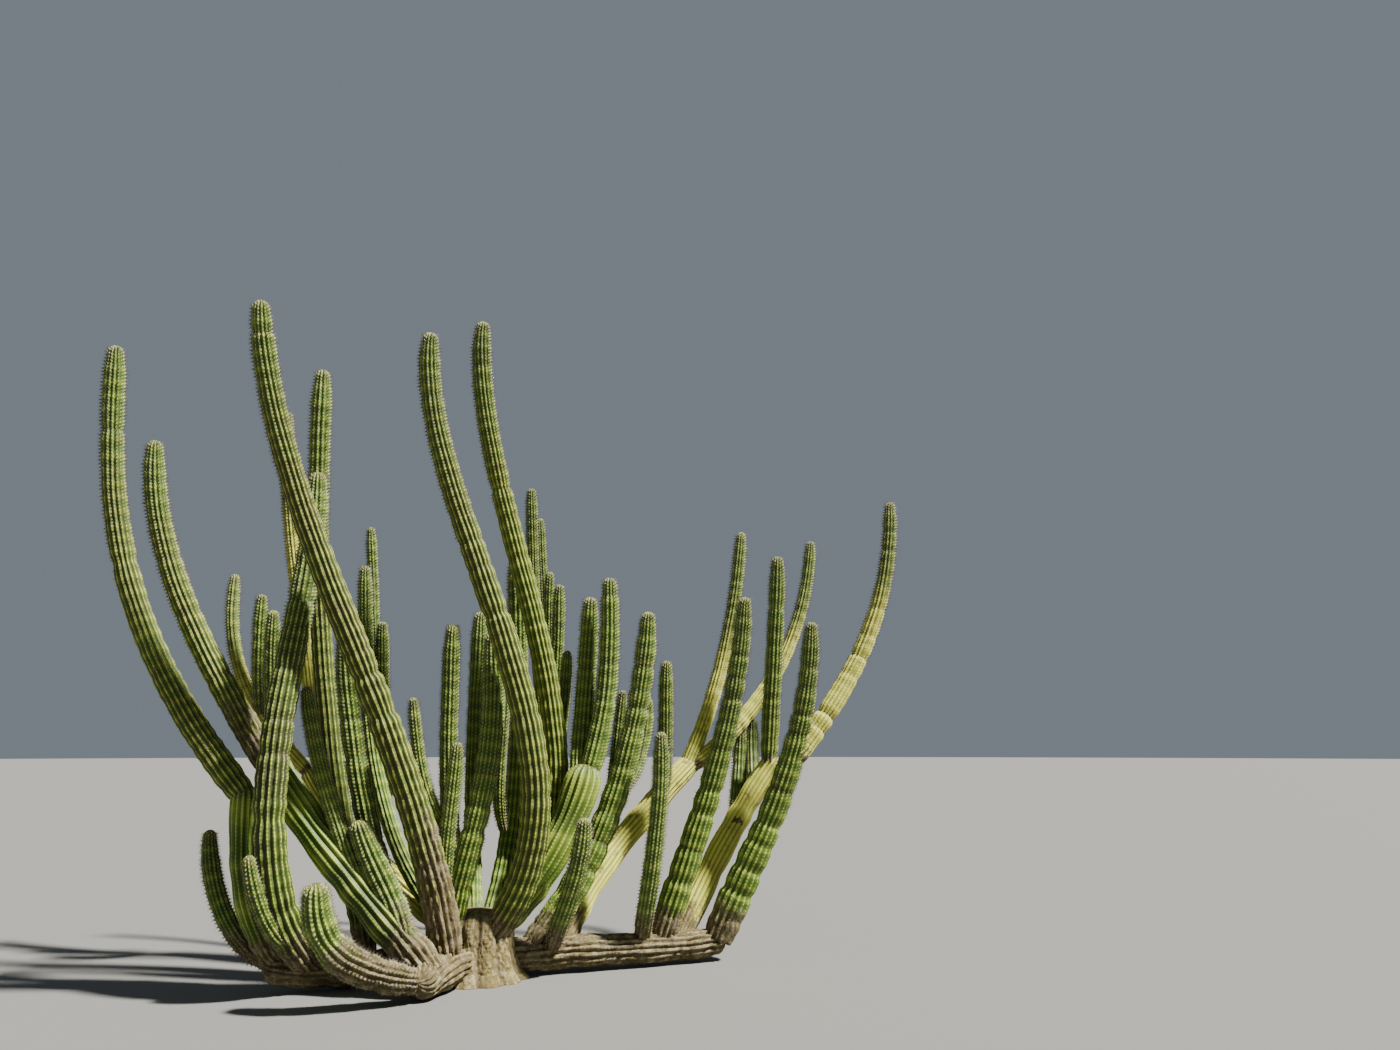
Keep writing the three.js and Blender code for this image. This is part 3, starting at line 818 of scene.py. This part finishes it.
class SkinPattern:
    """Where the marks of the skin lie, from 0 where there is none to 1 where it is whole."""

    def __init__(self, shade, lattice_step):
        rib, along = shade.chart()
        across = shade.math("PINGPONG", rib, 0.5) * 2
        row = shade.math("MODULO", shade.math("ROUND", rib), 2) * 0.5
        steps = along / lattice_step - row
        between = shade.math("PINGPONG", steps, 0.5) * 2
        old = shade.stored("old")
        swelling = shade.stored("swelling")
        # dull skin, with painted shade
        self.dust_and_shade = shade.stored("dust_and_shade")
        self.worn = shade.stored("worn")
        # the woolly tip, with the painted shade of its spines
        self.wool_and_spine_shade = shade.stored("wool_and_spine_shade")

        # Noises, some of them round 0
        self.patch = shade.noise(13, 4)
        self.grain = shade.noise(75, 4)
        self.bark = shade.noise(26, 5, (1, 1, 0.35))
        broad = shade.noise(2.6, 3)
        blotch = self.patch - 0.5
        speck = self.grain - 0.5
        streak = (shade.noise(21, 2, (0.22, 0.22, 1)) - 0.5) * 1.8
        cloud = shade.noise(6.5, 3, (1, 1, 1.6))

        # Ribs, the cushions along their crests, and the shade and highlight painted on them
        # painted shade in the hollows between the swellings
        self.hollow = shade.ease(swelling + streak + blotch * 1.6, 0.3, -1.2)
        # painted highlight on the swellings
        self.bulge = shade.ease(swelling + streak, 0.1, 1.3)
        # bottom of each groove, where shade is painted
        self.groove = shade.ease(across, 0.66, 1.0)
        # from crest to groove, where shade is painted down the sides of each rib
        self.flank = shade.ease(across, 0.1, 0.6)
        self.crest = shade.ease(across + self.hollow * 0.1 + blotch * 0.2, 0.2, 0.04)
        self.spot = shade.ease(across * across * 0.16 + between * between * 0.4,
                               0.045 + self.wool_and_spine_shade * 0.04, 0.01)
        # fine creases between the cushions, where shade is painted
        self.notch = shade.ease(shade.math("PINGPONG", steps + across * 0.4, 0.5), 0.36, 0.47)
        self.dash = shade.ease(between + speck * 0.5, 0.5, 0.95)

        # Age
        self.deep = shade.ease(broad + blotch * 0.5, 0.35, 0.68)
        self.aged = shade.ease(old + (broad - 0.5) * 0.6 + blotch * 0.25, 0.12, 0.72)
        self.sunned = shade.ease(old + (broad - 0.5) * 0.5 + blotch * 0.3, 0.6, 0.92)
        self.pale = shade.ease(cloud, 0.48, 0.68)
        # patches of the dull skin and its painted shade
        self.dull = shade.ease(broad + blotch * 0.6, 0.35, 0.6)
        self.ring = shade.ease(shade.stored("waist") + speck * 0.3, 0.7, 0.95)
        self.scab = shade.ease(self.patch + speck * 0.35 + self.aged * 0.08, 0.68, 0.76)
        self.corked = shade.ease(shade.stored("cork") + blotch * 0.7 + (self.bark - 0.5) * 0.4, 0.4, 0.68)
        self.flake = shade.ease(self.bark - shade.stored("crack") * 0.35, 0.3, 0.6)
        self.lichen = shade.ease(self.grain + self.patch - 1, 0.05, 0.25)


def skin_colour(shade, skin, colours):
    """The green of the skin, with every other colour laid over it by its share, painted shade and highlight
    among them.
    """
    # how pale the crest line is: a real worn line, brightened as painted highlight and dimmed as painted
    # shade in the hollows and at the tip
    line = (0.68 + 0.15 * skin.aged - 0.2 * skin.hollow - skin.dash * (0.3 - 0.2 * skin.worn)
            - 0.12 * skin.worn + 0.1 * skin.dust_and_shade - 0.25 * skin.wool_and_spine_shade)
    bark = shade.mix(skin.flake, colours.scar_and_shade, colours.cork)
    bark = shade.mix(skin.lichen * 0.5, bark, colours.lichen)
    layers = (
        (skin.deep, colours.deep),
        (skin.aged, colours.old),
        (skin.sunned * 0.8, colours.sunned),
        (skin.pale * (0.4 - 0.3 * skin.aged), colours.pale),
        # painted shade on the sides of each rib
        (skin.flank * (0.5 - 0.35 * skin.sunned), colours.deep),
        # painted shade in the hollows between the swellings
        (skin.hollow * (0.42 - 0.2 * skin.sunned), colours.deep),
        # painted highlight on the swellings
        (skin.bulge * 0.25, colours.crest),
        # dull skin and painted shade, heavier on the sides of the ribs
        (skin.dust_and_shade * (0.2 + 0.5 * skin.flank + 0.3 * skin.dull), colours.dust_and_shade),
        # painted shade in the fine creases between the cushions
        (skin.notch * (0.3 - 0.25 * skin.worn) * (1 - skin.groove), colours.deep),
        # painted shade at the bottom of each groove
        (skin.groove * 0.75, colours.groove),
        # painted shade of the dense spines on the woolly tip
        (skin.wool_and_spine_shade * 0.5, colours.scar_and_shade),
        # pale crest line, partly real and partly painted highlight
        (skin.crest * line, colours.crest),
        (skin.spot * (0.8 - 0.2 * skin.aged) * (1 - 0.65 * skin.worn), colours.felt),
        (skin.ring * 0.75, colours.scar_and_shade),
        (skin.scab * 0.6, colours.scar_and_shade),
        (skin.corked * 0.92, bark),
        # painted shade in the grooves of the cork
        (skin.corked * skin.groove * 0.5, colours.scar_and_shade),
    )
    colour = colours.young
    for share, layer in layers:
        colour = shade.mix(share, colour, layer)
    return colour


def skin_relief(skin):
    """Height of the relief that is too fine for the mesh, in shares of the bump's depth."""
    return (skin.crest * 0.4 + skin.spot * (1 - 0.5 * skin.worn)
            - skin.dash * skin.crest * (0.7 - 0.5 * skin.worn)
            - skin.notch * (0.45 - 0.35 * skin.worn) + (skin.grain - 0.5) * 0.5
            + skin.corked * (skin.bark * 2.6 + skin.grain * 0.8) - skin.ring * 0.6)


def skin_material(name, colours, lattice_step):
    """Ribbed skin: green to old yellow, pale crests with felt spots and painted highlight, grooves in
    painted shade, and cork.
    """
    shade = Shade(name)
    skin = SkinPattern(shade, lattice_step)
    rough = 0.5 + 0.18 * skin.aged + 0.2 * skin.corked + (skin.grain - 0.5) * 0.2
    return shade.finish(Base_Color=skin_colour(shade, skin, colours), Roughness=rough,
                        Specular_IOR_Level=0.3, Normal=shade.bump(skin_relief(skin), 0.0022, 0.9))


def plain_material(name, colour, roughness):
    """One even colour, for needles and felt that are joined by the thousand."""
    shade = Shade(name)
    return shade.finish(Base_Color=(*colour, 1.0), Roughness=roughness)


def colour_property(name, description, default):
    return FloatVectorProperty(name=name, description=description, default=default,
                               subtype="COLOR", size=3, min=0.0, max=1.0)


def length_property(name, description, default):
    return FloatProperty(name=name, description=description, default=default,
                         subtype="DISTANCE", unit="LENGTH", min=0.0001)


def strength_property(name, description, default):
    return FloatProperty(name=name, description=description, default=default, min=0.0)


def angle_property(name, description, degrees):
    return FloatProperty(name=name, description=description, default=radians(degrees),
                         subtype="ANGLE", unit="ROTATION", min=0.0, max=pi)


def share_property(name, description, default):
    return FloatProperty(name=name, description=description, default=default,
                         subtype="FACTOR", min=0.0, max=0.5)


class SkinSizes(PropertyGroup):
    """Relief of the skin."""

    ring_step: length_property("Ring step", "Distance between two rings of the skin", 0.02)
    stem_groove: share_property("Stem groove", "Depth of a stem's grooves, in radii", 0.18)
    bough_groove: share_property("Bough groove", "Depth of a low bough's grooves, in radii", 0.17)
    crown_groove: share_property("Crown groove", "Depth of the crown's grooves, in radii", 0.09)


class NeedleSizes(PropertyGroup):
    """Cushions of felt on the crests, and the needles that stand in them."""

    lattice_step: length_property("Step", "Distance between two cushions along a rib", 0.0235)
    long_needle: length_property("Long needle", "Length of the needles that stand out", 0.027)
    short_needle: length_property("Short needle", "Length of the needles round them", 0.012)
    needle_width: length_property("Needle width", "Width of a needle at its foot", 0.004)
    cushion_width: length_property("Cushion width", "Width of a felt cushion", 0.008)
    fresh_length: length_property("Fresh length", "How far below its tip a stem keeps all its needles", 1.5)


class Colours(PropertyGroup):
    """Colours of the plant."""

    young: colour_property("Young skin", "Fresh skin in the light", (0.112, 0.205, 0.013))
    # fresh skin at its darkest, also laid on as painted shade on rib sides, in hollows and in creases
    deep: colour_property("Deep skin", "Fresh skin at its darkest", (0.05, 0.1, 0.01))
    pale: colour_property("Pale skin", "Fresh skin where it has bleached", (0.31, 0.41, 0.06))
    old: colour_property("Old skin", "Old skin, yellowed by the sun", (0.135, 0.155, 0.013))
    sunned: colour_property("Sunned skin", "The oldest skin, golden from the sun", (0.68, 0.64, 0.11))
    # dark dull skin, also laid on as painted shade where stems stand in shade
    dust_and_shade: colour_property("Dull skin", "Old skin gone dull in the shade", (0.035, 0.04, 0.01))
    # painted shade at the bottom of a groove
    groove: colour_property("Groove", "Bottom of a groove", (0.027, 0.052, 0.006))
    # pale crest line, partly painted highlight, also laid on the swellings as painted highlight
    crest: colour_property("Crest", "Worn line along a crest", (0.56, 0.63, 0.095))
    felt: colour_property("Felt", "Felt cushions", (0.6, 0.57, 0.27))
    # real scars and rings, also painted as shade in the cork's grooves and under the tip's spines
    scar_and_shade: colour_property("Scar", "Scars and the rings of a constriction", (0.075, 0.05, 0.022))
    cork: colour_property("Cork", "Corky skin at the foot", (0.2, 0.16, 0.09))
    lichen: colour_property("Weathered cork", "Corky skin where it has weathered grey", (0.3, 0.28, 0.21))
    pale_needle: colour_property("Pale needle", "Short needles near the tips", (0.26, 0.23, 0.14))
    dark_needle: colour_property("Dark needle", "Long needles near the tips", (0.035, 0.024, 0.016))
    worn_needle: colour_property("Worn needle", "Old needles", (0.17, 0.145, 0.105))


class StageSizes(PropertyGroup):
    """Floor and light."""

    floor_width: length_property("Floor width", "Width of the floor", 300.0)
    key_strength: strength_property("Key light", "Strength of the light from the right", 16.0)
    key_spread: angle_property("Key spread", "Angle over which the light from the right spreads", 4.0)
    fill_strength: strength_property("Fill light", "Strength of the light from the left", 0.05)
    fill_spread: angle_property("Fill spread", "Angle over which the light from the left spreads", 60.0)
    sky_strength: strength_property("Sky", "Strength of the even light all round", 0.24)


def groove_of(context, limb):
    """Depth of this limb's grooves, in radii."""
    return getattr(context.scene.cactus_skin, limb.groove)


def skin_piece(context, limb, material):
    """Puts the finished skin of one limb in place of its solid."""
    step = context.scene.cactus_skin.ring_step * POINTS_PER_RIB / limb.points_per_rib
    mesh = skin_mesh(limb, groove_of(context, limb), step)
    show(limb.name + "_skin", mesh, material, (limb.name,))


def slot_material(context, slot):
    """The skin material for that slot of the record, made once."""
    name = slot + "_finish"
    found = bpy.data.materials.get(name)
    scene = context.scene
    return found or skin_material(name, scene.cactus_colours, scene.cactus_needles.lattice_step)


def gather(pieces):
    """Joins sets of corners and triangles into one."""
    shifts = np.cumsum([0] + [len(corners) for corners, _ in pieces[:-1]])
    corners = np.concatenate([corners for corners, _ in pieces])
    faces = np.concatenate([faces + shift for (_, faces), shift in zip(pieces, shifts)])
    return corners, faces


def batches(sets):
    """Sets of small shapes in groups that each stay within the triangle limit."""
    groups = [[]]
    for small in sets:
        if groups[-1] and sum(len(faces) for _, faces in (*groups[-1], small)) > PIECE_TRIANGLES:
            groups.append([])
        groups[-1].append(small)
    return groups


def show_joined(name, sets, material):
    """Shows sets of small shapes as joined pieces."""
    for number, batch in enumerate(batches(sets), 1):
        title = f"{name}_{number}"
        show(title, triangle_mesh(title, *gather(batch)), material)


class LimbGroup:
    """Puts the finished skin of each of its limbs in place of the solid."""

    slot = "green_skin"

    def execute(self, context):
        material = slot_material(context, self.slot)
        for limb in self.limbs:
            skin_piece(context, limb, material)
        return {"FINISHED"}


class CACTUS_OT_crown(LimbGroup, Operator):
    """Corky crown at ground level"""

    bl_idname = "cactus.crown"
    bl_label = "Crown"
    slot = "crown_bark"
    limbs = (CROWN,)


class CACTUS_OT_boughs(LimbGroup, Operator):
    """Low corky boughs that carry the stems"""

    bl_idname = "cactus.boughs"
    bl_label = "Low boughs"
    slot = "old_skin"
    limbs = BOUGHS


class CACTUS_OT_left_stems(LimbGroup, Operator):
    """Ribbed stems on the left"""

    bl_idname = "cactus.left_stems"
    bl_label = "Left stems"
    limbs = LEFT_STEMS


class CACTUS_OT_middle_stems(LimbGroup, Operator):
    """Ribbed stems in the middle"""

    bl_idname = "cactus.middle_stems"
    bl_label = "Middle stems"
    limbs = MIDDLE_STEMS


class CACTUS_OT_right_stems(LimbGroup, Operator):
    """Ribbed stems on the right"""

    bl_idname = "cactus.right_stems"
    bl_label = "Right stems"
    limbs = RIGHT_STEMS


class CACTUS_OT_needles(Operator):
    """Felt cushions and needles along every crest"""

    bl_idname = "cactus.needles"
    bl_label = "Needles"

    def execute(self, context):
        sizes = context.scene.cactus_needles
        colours = context.scene.cactus_colours
        kinds = {
            "long_needles": (long_needles, colours.dark_needle, 0.6),
            "short_needles": (star_of_needles, colours.pale_needle, 0.6),
            "worn_needles": (worn_needles, colours.worn_needle, 0.8),
            "felt_cushions": (cushion, colours.felt, 0.95),
        }
        shapes = {name: pattern(make, sizes) for name, (make, *_) in kinds.items()}
        sets = {name: [] for name in kinds}
        for limb in (*BOUGHS, *LEFT_STEMS, *MIDDLE_STEMS, *RIGHT_STEMS):
            distance, rib = crest_lattice(limb, sizes.lattice_step)
            spots = crest_spots(limb, distance, rib, groove_of(context, limb))
            scale = limb.draw.uniform(*CUSHION_SCALES, len(distance)) * (1 - WEAR * limb.worn(distance))
            spins = limb.draw.uniform(-MOST_SPIN, MOST_SPIN, len(distance))
            chance = limb.draw.uniform(0, 1, len(distance))
            height = spots[0][:, 2]
            choice = choose_cushions(limb, distance, height, chance, sizes.fresh_length)
            for name, chosen in choice.items():
                if chosen.any():
                    picked = [rows[chosen] for rows in spots]
                    sets[name].append(scatter(shapes[name], picked, scale[chosen], spins[chosen]))
        for name, (_, colour, roughness) in kinds.items():
            show_joined(name, sets[name], plain_material(name, colour, roughness))
        return {"FINISHED"}


def lay_floor(context, width):
    """A wide flat disc under the plant."""
    disc = bmesh.new()
    bmesh.ops.create_circle(disc, cap_ends=True, segments=FLOOR_SIDES, radius=width / 2)
    mesh = bpy.data.meshes.new("floor")
    disc.to_mesh(mesh)
    disc.free()
    mesh.materials.append(plain_material("pale_floor", FLOOR_COLOUR, 0.95))
    floor = bpy.data.objects.new("floor", mesh)
    context.scene.collection.objects.link(floor)


def hang_light(context, name, turn, height, strength, spread, colour):
    """An even soft light from far away."""
    lamp = bpy.data.lights.new(name, "SUN")
    lamp.energy = strength
    lamp.angle = spread
    lamp.color = colour
    holder = bpy.data.objects.new(name, lamp)
    holder.rotation_euler = (radians(90 - height), 0, radians(turn))
    context.scene.collection.objects.link(holder)


def light_sky(context, strength):
    """An even light all round."""
    world = context.scene.world or bpy.data.worlds.new("sky")
    context.scene.world = world
    world.use_nodes = True
    sky = world.node_tree.nodes["Background"]
    sky.inputs["Color"].default_value = (*SKY_COLOUR, 1.0)
    sky.inputs["Strength"].default_value = strength


def set_camera(context, farthest):
    """The camera, low in front of the plant and turned up a little."""
    lens = bpy.data.cameras.new("camera")
    lens.lens = LENS
    lens.sensor_width = SENSOR_WIDTH
    lens.clip_end = farthest
    camera = bpy.data.objects.new("camera", lens)
    camera.location = CAMERA_PLACE
    camera.rotation_euler = (radians(90 + CAMERA_PITCH), 0, 0)
    context.scene.collection.objects.link(camera)
    context.scene.camera = camera


class CACTUS_OT_stage(Operator):
    """Pale floor, soft lights and the camera"""

    bl_idname = "cactus.stage"
    bl_label = "Stage"

    def execute(self, context):
        sizes = context.scene.cactus_stage
        lay_floor(context, sizes.floor_width)
        hang_light(context, "key_light", KEY_TURN, KEY_HEIGHT,
                   sizes.key_strength, sizes.key_spread, KEY_COLOUR)
        hang_light(context, "fill_light", FILL_TURN, FILL_HEIGHT,
                   sizes.fill_strength, sizes.fill_spread, FILL_COLOUR)
        light_sky(context, sizes.sky_strength)
        set_camera(context, sizes.floor_width * 2)
        return {"FINISHED"}


OPERATORS = (
    CACTUS_OT_crown,
    CACTUS_OT_boughs,
    CACTUS_OT_left_stems,
    CACTUS_OT_middle_stems,
    CACTUS_OT_right_stems,
    CACTUS_OT_needles,
    CACTUS_OT_stage,
)


class CACTUS_PT_panel(Panel):
    """Lists the pieces of the cactus"""

    bl_idname = "CACTUS_PT_panel"
    bl_label = "Cactus"
    bl_space_type = "VIEW_3D"
    bl_region_type = "UI"
    bl_category = "Cactus"

    def draw(self, context):
        for operator in OPERATORS:
            self.layout.operator(operator.bl_idname)
        for name, _ in GROUPS:
            group = getattr(context.scene, name)
            box = self.layout.box()
            for size in group.__annotations__:
                box.prop(group, size)


GROUPS = (
    ("cactus_skin", SkinSizes),
    ("cactus_needles", NeedleSizes),
    ("cactus_colours", Colours),
    ("cactus_stage", StageSizes),
)


def register():
    for name, group in GROUPS:
        bpy.utils.register_class(group)
        setattr(bpy.types.Scene, name, PointerProperty(type=group))
    for operator in OPERATORS:
        bpy.utils.register_class(operator)
    bpy.utils.register_class(CACTUS_PT_panel)


def unregister():
    bpy.utils.unregister_class(CACTUS_PT_panel)
    for operator in reversed(OPERATORS):
        bpy.utils.unregister_class(operator)
    for name, group in reversed(GROUPS):
        delattr(bpy.types.Scene, name)
        bpy.utils.unregister_class(group)


def main():
    """Makes every piece, in order."""
    register()
    for operator in OPERATORS:
        family, name = operator.bl_idname.split(".")
        getattr(getattr(bpy.ops, family), name)()


if __name__ == "__main__":
    main()
